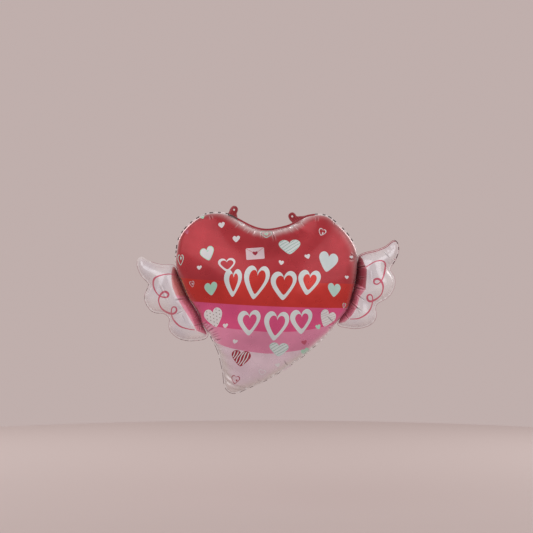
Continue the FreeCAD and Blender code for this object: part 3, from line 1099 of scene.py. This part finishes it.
LEFT_WING_GROOVES = [
    (-376, -187, -354, -164, 2.2, 1.5), (-298, -201, -266, -213, 1.8, 1.5),
    (-286, -281, -246, -276, 1.7, 1.5), (-283, -327, -252, -313, 1.5, 1.4),
    (-262, -326, -250, -356, 1.3, 1.4), (-332, -228, -303, -293, -2.2, 1.8),
    (-252, -306, -230, -290, 1.5, 1.4), (-238, -332, -212, -314, 1.5, 1.4),
    (-222, -352, -202, -336, 1.5, 1.4), (-268, -250, -250, -252, 1.2, 1.4),
    (-202, -352, -206, -384, 2.0, 1.6), (-198, -358, -226, -364, 1.6, 1.5),
    (-194, -368, -184, -394, 1.6, 1.5), (-276, -300, -262, -316, 1.0, 1.3),
]
RIGHT_WING_GROOVES = [
    (303, -156, 322, -148, 1.8, 1.5), (304, -177, 337, -170, 1.9, 1.5), (306, -209, 332, -209, 1.1, 1.5),
    (296, -241, 334, -249, 2.4, 1.6), (300, -262, 331, -285, 2.2, 1.6), (282, -286, 323, -321, 2.6, 1.6),
    (262, -324, 276, -344, 1.8, 1.5), (386, -123, 409, -150, 2.0, 1.4), (387, -163, 402, -180, 1.1, 1.3),
    (252, -332, 262, -352, 1.6, 1.4), (246, -340, 228, -352, 1.6, 1.4), (345, -180, 350, -236, -1.0, 2.0),
    (240, -359, 292, -362, 1.0, 1.4), (300, -300, 312, -330, 1.0, 1.6),
]

heart.creases = rim_creases(heart, 40, (20, 44), 42, 1.5)
left_wing.creases = rim_creases(left_wing, 50, (13, 26), 24, 1.1)
right_wing.creases = rim_creases(right_wing, 60, (13, 26), 24, 1.1)


# Painted pale sheen on the heart, standing in for its reflections: along the rim, at the notch, on the right
# side and on the tip, in streaks.
def heart_painted_sheen(v, place, d, s):
    strength = 0.6 + 0.4 * rim_noise(s, heart.length, 9, (3, 5, 8, 31, 47))
    streaks = 0.72 + 0.28 * rim_noise(s, heart.length, 10, (97, 131, 163, 211, 257))
    x, z = v[:, 0], v[:, 1]
    rim = (1 - smooth(d, 8, 46)) * (0.32 + 0.45 * strength)
    notch = (1 - smooth(d, 5, 46)) * smooth(z, -150, -100) * smooth(x, -150, -60)
    notch *= (1 - smooth(x, 130, 200)) * 0.85
    right = (1 - smooth(d, 4, 64)) * 0.75 * smooth(x, 170, 250) * smooth(z, -260, -150)
    low = (1 - smooth(d, 4, 50)) * smooth(-z, 350, 400) * smooth(x, -40, 60) * 0.75
    low += (1 - smooth(d, 8, 66)) * smooth(-z, 410, 470) * 0.9
    return np.clip((rim + notch + right + low) * streaks, 0, 1)


def wing_painted_sheen(chamber, seed, edge):
    """Painted pale sheen along the border, and beside the outer edge of the coloured strip by the crease,
    where the strip fades into the pearl film.
    """

    def painted_sheen(v, place, d, s):
        strength = 0.2 + 0.8 * rim_noise(s, chamber.length, seed, (2, 5, 9, 14))
        border = (1 - smooth(d, 1, 26)) * strength * smooth(crease_distance(place, LINES), 8, 30)
        streaks = 0.75 + 0.25 * rim_noise(s, chamber.length, seed + 1, (61, 83, 109, 137))
        strip_edge_sheen = 1 - smooth(crease_distance(place, [np.array(edge, float)]), 0, 8)
        return np.maximum(border, 0.4 * strip_edge_sheen * streaks)

    return painted_sheen


LEFT_ROOT = [
    (-284, -164), (-292, -176), (-295, -190), (-296, -213), (-292, -240), (-282, -265), (-272, -284),
    (-256, -310), (-238, -338), (-226, -358), (-214, -380), (-190, -389), (-160, -398),
]
RIGHT_ROOT = [
    (306, -134), (319, -147), (327, -166), (334, -183), (333, -209), (330, -245), (315, -265), (308, -280),
    (302, -305), (282, -334), (262, -352), (236, -356), (216, -362),
]


HEART_SHADE_DASHES = dashes(heart.length, 71)
WING_SHADE_DASHES = dashes(900, 72)


def in_shade_dash(s, marks):
    return any(a <= s <= b for a, b in marks)


# The ink of a border depends on the place, on the way s along it, and on q, the face of its section: 0 is
# beside the chamber at the front, 4 is the outer edge, and 8 is beside the chamber at the back.
def heart_seam_ink(place, s, q):
    x, z = place
    # Painted shadow of the left tab's foot, across the seam.
    if -113 < x < -82 and z > -60 and q in (1, 2):
        return "shadow"
    if z > -75 and -92 < x < 168:
        return "wine_seam"
    # Mauve dashes along the tip's seam: painted shade of its puckers.
    if z < -400:
        stretch = int(s / 12) % 4 > 0
        return "mauve" if q == 3 and stretch == (x < -60) else "silver"
    # Dark dashes: painted shade of the seam's puckers.
    strong = (z > -140 and x < 234) or int(s / 60) % 4 == 0
    return "shadow" if q in (2, 3) and strong and in_shade_dash(s, HEART_SHADE_DASHES) else "silver"


def left_seam_ink(place, s, q):
    x, z = place
    # Mauve dashes: painted shade of the border's puckers.
    if q == 3 and z < -215 and (x < -328 or z < -400) and in_shade_dash(s, WING_SHADE_DASHES):
        return "mauve"
    return "edge" if q in (3, 4) and z < -160 else "silver"


def right_seam_ink(place, s, q):
    x, z = place
    # Mauve dashes: painted shade of the border's puckers.
    if q in (2, 3) and x > 415 and z > -165 and in_shade_dash(s, WING_SHADE_DASHES):
        return "mauve"
    if q in (1, 3) and z > -150 and x < 424:
        return "maroon"
    return "edge" if q in (3, 4) else "silver"


# For each wing, edge is the outer line of the coloured strip beside its crease, upper_ink and upper_end are
# the ink of the strip's upper part and where that ends, and the last entry has the lines beside which the
# film's colour is darkened as painted shade of the crease, each with its strength and width.
WINGS = {
    "left_wing": SimpleNamespace(
        chamber=left_wing, seam_ink=left_seam_ink, curl=LEFT_CURL, grooves=LEFT_WING_GROOVES,
        crease=LEFT_CREASE, line=LEFT_LINE, side=-1, out=np.array([-0.9023, -0.4312]),
        edge=LEFT_ROOT, upper_ink="blush", upper_end=-283,
        painted_crease_shade=[(LEFT_LINE, 0.8, 13.0)],
    ),
    "right_wing": SimpleNamespace(
        chamber=right_wing, seam_ink=right_seam_ink, curl=RIGHT_CURL, grooves=RIGHT_WING_GROOVES,
        crease=RIGHT_CREASE, line=RIGHT_LINE, side=1, out=np.array([0.9571, -0.2897]),
        edge=RIGHT_ROOT, upper_ink="maroon", upper_end=-246,
        painted_crease_shade=[(RIGHT_LINE, 0.7, 13.0), (RIGHT_LINE[RIGHT_LINE[:, 1] > -280], 0.95, 19.0)],
    ),
}


def wing_picture(wing):
    """The coloured strip beside the crease, in two colours, and the curl."""
    art = Picture()
    strip = wing.edge + [(x - wing.side * 30, z) for x, z in wing.crease[::-1]]
    art.fill("root", denser(strip, 4.0))
    art.fill(wing.upper_ink, denser([q for q in strip if q[1] > wing.upper_end], 4.0))
    draw_curl(art, wing.curl)
    return art


def blend_wing(piece):
    """Moves the piece's placement into its mesh; the piece is not bent."""
    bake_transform(piece)


SIDES = (("front", -1), ("back", 1))
# Painted shade: the heart's colour darkens beside both creases, with each line's strength and width.
HEART_PAINTED_CREASE_SHADE = [(LEFT_LINE, 0.6, 6.0), (RIGHT_LINE, 0.65, 15.0)]
for (label, sense), rows in zip(SIDES, (ROWS, [])):
    name, art = "heart_" + label, heart_picture(rows)
    piece = printed_film(
        name + "_skin", heart, sense, "crimson", BANDS, art, HEART_GROOVES, heart_painted_sheen, HEART_PAINTED_CREASE_SHADE
    )
    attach(piece, "heart")
    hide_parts(name + "_film")
for body, wing in WINGS.items():
    painted_sheen = wing_painted_sheen(wing.chamber, 4, wing.edge)
    for label, sense in SIDES:
        name, art = body + "_" + label, wing_picture(wing)
        piece = printed_film(
            name + "_skin", wing.chamber, sense, "pearl", [], art, wing.grooves, painted_sheen, wing.painted_crease_shade
        )
        blend_wing(piece)
        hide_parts(name + "_film")

piece = seam_band("heart_seam", heart, heart_seam_ink, 81)
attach(piece, "heart")
for body, wing in WINGS.items():
    blend_wing(seam_band(body + "_seam", wing.chamber, wing.seam_ink, 82 + len(body)))

# ------------------------------------------------------------------ hanging tabs


def hang_tab(name, fold, foot, lean, tail, seed):
    """A welded tab of two foil layers with a flared foot, a round head and an eyelet."""
    radius, head = 12.5, 16.5
    eyelet, hole_radius, lip_radius = 16.0, 2.2, 3.3
    spokes, step = 28, 1.6
    shoulder = [(-foot - 1.5, -3.2), (-foot, 0.5), (lean - radius - 0.2, 8.5), (lean - radius, head)]
    left = open_spline(shoulder, step)
    right = open_spline([(lean + radius, head), (lean + radius + 0.4, 9.0)] + tail, step)
    top = circle(lean, head, radius, np.linspace(math.pi, 0, 26)[1:-1])
    border = np.vstack([left, top, right])
    border = np.vstack([border, denser([border[-1], border[0]], step, False)[1:-1]])
    turn = np.linspace(0, 2 * math.pi, spokes, endpoint=False)
    hole = circle(lean, eyelet, hole_radius, turn)
    lip = circle(lean, eyelet, lip_radius, turn)
    grid = hex_grid(border.min(0), border.max(0), step)
    d, _, inside = rim_place(grid, border)
    away = np.hypot(grid[:, 0] - lean, grid[:, 1] - eyelet)
    grid = grid[inside & (d > 1.0) & (away > 4.2)]
    n = len(border)
    points = np.vstack([border, hole, lip, grid])
    rings = [(n + spokes * r + k, n + spokes * r + (k + 1) % spokes) for r in (0, 1) for k in range(spokes)]
    cut = geometry.delaunay_2d_cdt([Vector(q) for q in points], rings, [list(range(n))], 1, 1e-4)
    v, f = np.array([tuple(q) for q in cut[0]]), np.array(cut[2])
    middle = v[f].mean(1)
    f = f[np.hypot(middle[:, 0] - lean, middle[:, 1] - eyelet) > hole_radius - 0.05]
    rng = np.random.default_rng(seed)
    d, s, _ = rim_place(v, border)
    wave = 0.9 * np.sin(v[:, 0] * 0.21 + rng.uniform(0, 6)) * smooth(v[:, 1], 1, 14)
    wave += 0.35 * np.cos(v[:, 0] * 0.9 + rng.uniform(0, 6)) * (1 - smooth(v[:, 1], 4, 16))
    eye = np.hypot(v[:, 0] - lean, v[:, 1] - eyelet)
    thick = 0.42 * smooth(d, -0.6, 0.9) + 0.1 + 0.25 * smooth(d, 1.5, 6) * smooth(eye, 3.4, 6)
    base, along, out = (np.array(q) for q in fold)
    place = base + v[:, :1] * along + v[:, 1:] * out
    flat = np.zeros(len(v))
    layers = [place + np.stack([flat, wave + side * thick, flat], 1) for side in (-1, 1)]
    a, b, c = (layers[0][f[:, k]] for k in (0, 1, 2))
    if np.cross(b - a, c - a)[:, 1].sum() > 0:
        f = f[:, ::-1]
    count = len(v)
    faces = f.tolist() + (f[:, ::-1] + count).tolist()
    edges = {(t[k], t[(k + 1) % 3]): True for t in f.tolist() for k in range(3)}
    for p, q in edges:
        if (q, p) not in edges:
            faces.append([q, p, p + count, q + count])
    slots = [int(all(eye[q % count] < lip_radius + 0.1 for q in t)) for t in faces]
    obj = make_mesh(name, np.vstack(layers), faces, ["tab", "silver"], slots)
    # Painted pale sheen along the tab's border.
    painted_sheen = 0.5 * (1 - smooth(d, 0, 3)) * (0.4 + 0.6 * np.sin(s * 0.2) ** 2)
    set_attributes(obj, np.tile(painted_sheen, 2), np.full(2 * count, 0.6), np.tile(s, 2), np.tile(d, 2))
    return obj


for side, fold, foot, lean, tail in (
    ("left", LEFT_TAB, 15.5, -3.0, [(15.5, 0.5), (17.0, -3.2)]),
    ("right", RIGHT_TAB, 19.0, -8.0, [(12.0, 3.8), (22.0, -1.6), (30.0, -5.0), (30.5, -6.6)]),
):
    name = side + "_hang_tab"
    piece = hang_tab(name + "_foil", fold, foot, lean, tail, 5)
    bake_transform(piece)
    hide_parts(name + "_front_film", name + "_back_film")

# ------------------------------------------------------------------ filling neck


def neck_sleeve():
    """The flat filling sleeve, welded along its sides, folded back behind the heart."""
    half, length, knee, rest = 14.0, 56.0, 3.0, math.radians(105)
    base, along, out = (np.array(q) for q in NECK)
    back = np.array([0, 1, 0])
    down = out * math.cos(rest) + back * math.sin(rest)
    bow = []
    for t in np.linspace(0, 1, 7):
        centre = (1 - t) ** 2 * -knee * out + t * t * knee * down
        bow.append((centre, back * math.cos(rest * t) - out * math.sin(rest * t), t * 2 * knee))
    normal = back * math.cos(rest) - out * math.sin(rest)
    rows = bow + [(down * u, normal, u + knee) for u in np.linspace(knee, length, 24)[1:]]
    side = [3, 6, 9, 11, 12, 13.4, half]
    across = [-a for a in side[::-1]] + [0] + side
    points, s, d = [], [], []
    for layer in (-1, 1):
        for centre, normal, u in rows:
            flare = 1 + 0.12 * (1 - smooth(u, 0, 12))
            ruffle = 0.5 * smooth(u, 30, 58)
            for a in across:
                weld = smooth(half - abs(a), 0, 3.4)
                thick = 0.12 + (0.62 + 0.75 * smooth(half - abs(a), 3, 12) * smooth(u, 6, 30)) * weld
                wave = ruffle * math.sin(a * 0.5 + u * 0.07)
                points.append(base + centre + along * a * flare + normal * (layer * thick + wave))
                s.append(u)
                d.append(a)
    width, count = len(across), len(rows)
    faces = []
    for layer in (0, 1):
        for m in range(count - 1):
            for k in range(width - 1):
                a = layer * width * count + m * width + k
                quad = [a, a + 1, a + 1 + width, a + width]
                faces.append(quad if layer else quad[::-1])
    for m in range(count - 1):
        for k in (0, width - 1):
            a, b = m * width + k, width * count + m * width + k
            quad = [a, a + width, b + width, b]
            faces.append(quad if k else quad[::-1])
    obj = make_mesh("neck_sleeve", points, faces, ["pale"])
    set_attributes(obj, np.zeros(len(points)), np.full(len(points), 0.5), np.array(s), np.array(d))
    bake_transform(obj)
    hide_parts("neck_front_film", "neck_back_film")


neck_sleeve()
for node in ("valve_front_film", "valve_back_film", "neck_valve_front_film", "neck_valve_back_film"):
    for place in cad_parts[node].material_slots:
        place.material = INKS["milky"]

# ------------------------------------------------------------------ camera, floor and light

camera = bpy.data.objects.new("camera", bpy.data.cameras.new("camera"))
camera.data.lens = 100
camera.location = (EYE[0] * MM, -EYE[1] * MM, EYE[2] * MM)
camera.rotation_euler = (math.pi / 2, 0, 0)
bpy.context.collection.objects.link(camera)
bpy.context.scene.camera = camera


def stage_material(name, colour):
    mat = bpy.data.materials.new(name)
    mat.use_nodes = True
    shader = mat.node_tree.nodes["Principled BSDF"]
    shader.inputs["Base Color"].default_value = (*colour, 1)
    shader.inputs["Roughness"].default_value = 0.8
    return mat


FLOOR_RADIUS, FLOOR_LEVEL = 3.0, -0.98  # metres
floor_mesh = bpy.data.meshes.new("floor")
disc = circle(0, 0, FLOOR_RADIUS, np.linspace(0, 2 * math.pi, 96, endpoint=False))
floor_mesh.from_pydata([(x, y, FLOOR_LEVEL) for x, y in disc], [], [tuple(range(len(disc)))])
floor_mesh.materials.append(stage_material("floor_paint", srgb(204, 193, 190)))
floor = bpy.data.objects.new("floor", floor_mesh)
bpy.context.collection.objects.link(floor)

world = bpy.data.worlds.new("studio")
bpy.context.scene.world = world
world.use_nodes = True
sky = world.node_tree.nodes["Background"]
sky.inputs["Color"].default_value = (*srgb(206, 188, 185), 1)
sky.inputs["Strength"].default_value = 0.85
bpy.context.scene.view_settings.view_transform = "Standard"


def lamp(name, place, size, power, colour=(1, 1, 1)):
    light = bpy.data.lights.new(name, "AREA")
    light.size = size
    light.energy = power
    light.color = colour
    obj = bpy.data.objects.new(name, light)
    bpy.context.collection.objects.link(obj)
    obj.location = place
    aim = Vector((0, 0, -0.28)) - Vector(place)
    obj.rotation_euler = aim.to_track_quat("-Z", "Y").to_euler()


lamp("key", (-1.9, -2.6, 1.9), 3.4, 26, (0.94, 0.98, 1.0))
lamp("fill", (2.2, -2.4, 0.9), 2.8, 17.0, (0.94, 0.98, 1.0))
lamp("back_left", (-1.8, 2.2, 1.2), 1.6, 26)
lamp("back_right", (2.0, 2.0, 0.8), 1.6, 20)
